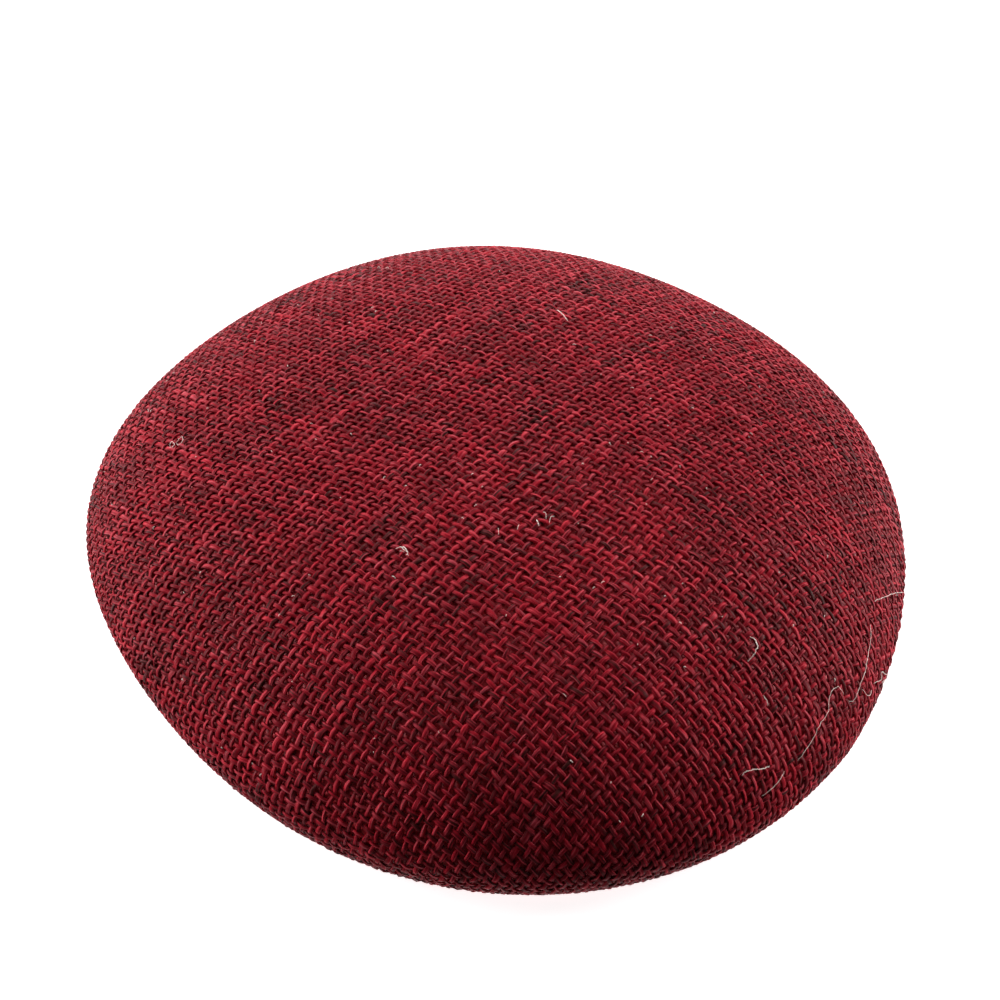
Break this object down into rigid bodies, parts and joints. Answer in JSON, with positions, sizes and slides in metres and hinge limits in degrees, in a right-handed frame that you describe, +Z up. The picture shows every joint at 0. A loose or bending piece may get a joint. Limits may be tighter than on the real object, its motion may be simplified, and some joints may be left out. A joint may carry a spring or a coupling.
{
  "type": "fascinator hat",
  "caption": "Plain round fascinator hat of woven straw: a shallow hollow dome with a tucked, bound rim edge and a small hair comb inside the rim.",
  "frame": {"origin": "under the middle of the hat's plan, on the plane that the rim rests on", "axes": "+Z up out of the dome, +X to the right and -Y towards the viewer of the picture; the comb is inside the rim at +Y"},
  "size_m": [0.1558, 0.168, 0.0333],
  "materials": {
    "straw": "stiffened woven straw, dyed dark red, each strand its own shade",
    "binding": "turned and bound straw edge, a little darker and smoother",
    "comb_resin": "plain dark brown resin, polished"
  },
  "bodies": {
    "root": {"crown": "straw", "rim_edge": "binding", "comb": "comb_resin"}
  },
  "joints": []
}
